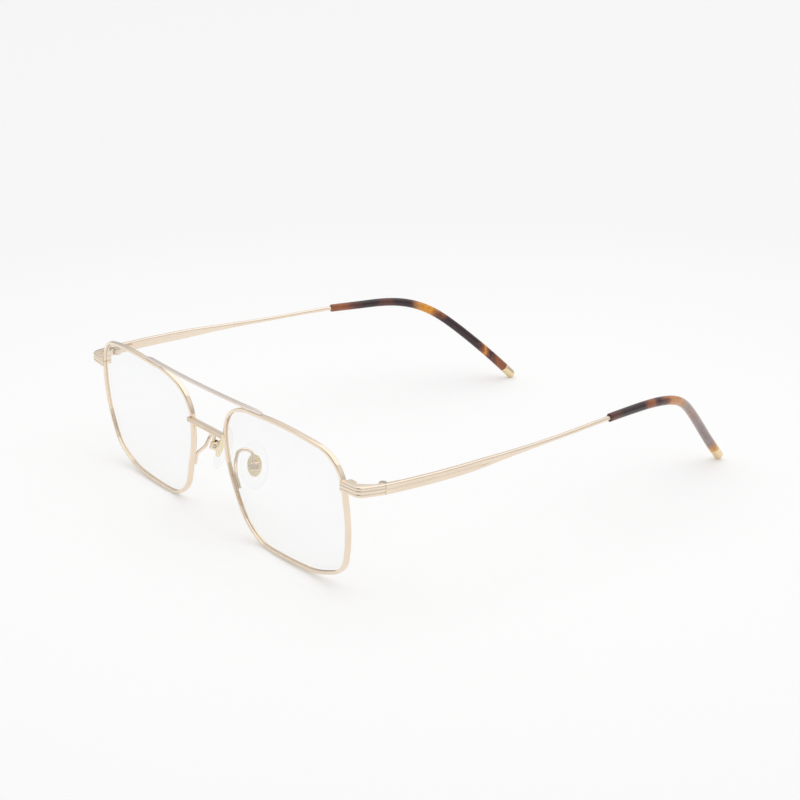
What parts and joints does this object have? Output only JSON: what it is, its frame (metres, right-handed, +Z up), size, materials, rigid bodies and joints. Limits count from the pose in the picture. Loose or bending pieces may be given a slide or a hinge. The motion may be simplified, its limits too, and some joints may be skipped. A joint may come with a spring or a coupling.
{
  "type": "double bridge eyeglass frame",
  "caption": "Slim metal double bridge spectacles with clear lenses, a straight brow bar, reeded lower bridge, folding wire temples and tortoiseshell tips.",
  "frame": {"origin": "on the surface that the open frame stands on, under the middle of its bounding box", "axes": "+X across the face towards the wearer's left, +Y back along the temples, +Z up"},
  "size_m": [0.1354, 0.1446, 0.0385],
  "materials": {
    "gold": "satin pale champagne gold plating",
    "polished_gold": "polished pale gold plating",
    "brow_gold": "brushed pale rosy gold plating",
    "button_gold": "bright yellow gold plating",
    "screw_steel": "plated steel",
    "lens": "clear, coated",
    "silicone": "clear satin silicone",
    "tortoise": "polished tortoiseshell acetate"
  },
  "bodies": {
    "front": {"brow_bar": "brow_gold", "bridge_bar": "gold", "rim_left": "polished_gold", "rim_right": "polished_gold", "lens_left": "lens", "lens_right": "lens", "endpiece_left": "gold", "endpiece_right": "gold", "rim_lock_upper_left": "gold", "rim_lock_upper_right": "gold", "rim_lock_lower_left": "gold", "rim_lock_lower_right": "gold", "rim_lock_screw_left": "screw_steel", "rim_lock_screw_right": "screw_steel", "front_hinge_leaf_left": "gold", "front_hinge_leaf_right": "gold", "hinge_screw_left": "screw_steel", "hinge_screw_right": "screw_steel", "pad_arm_left": "gold", "pad_arm_right": "gold", "pad_box_left": "gold", "pad_box_right": "gold", "pad_screw_left": "screw_steel", "pad_screw_right": "screw_steel"},
    "temple_left": {"temple_left": "gold", "temple_hinge_leaf_left": "gold", "temple_tip_left": "tortoise", "tip_end_cap_left": "gold"},
    "pad_left": {"nose_pad_left": "silicone", "pad_core_left": "button_gold"},
    "temple_right": {"temple_right": "gold", "temple_hinge_leaf_right": "gold", "temple_tip_right": "tortoise", "tip_end_cap_right": "gold"},
    "pad_right": {"nose_pad_right": "silicone", "pad_core_right": "button_gold"}
  },
  "joints": [
    {"name": "temple_left_fold", "type": "hinge", "parent": "front", "child": "temple_left", "pos_m": [0.06409, -0.06084, 0.02845], "axis": [0, 0, 1], "range_deg": [0, 84]},
    {"name": "temple_right_fold", "type": "hinge", "parent": "front", "child": "temple_right", "pos_m": [-0.06409, -0.06084, 0.02845], "axis": [0, 0, -1], "range_deg": [0, 79]},
    {"name": "pad_left_rock", "type": "hinge", "parent": "front", "child": "pad_left", "pos_m": [0.0094, -0.0615, 0.01655], "axis": [-0.5282, -0.8491, 0], "range_deg": [-8, 8]},
    {"name": "pad_right_rock", "type": "hinge", "parent": "front", "child": "pad_right", "pos_m": [-0.0094, -0.0615, 0.01655], "axis": [-0.5282, 0.8491, 0], "range_deg": [-8, 8]}
  ]
}
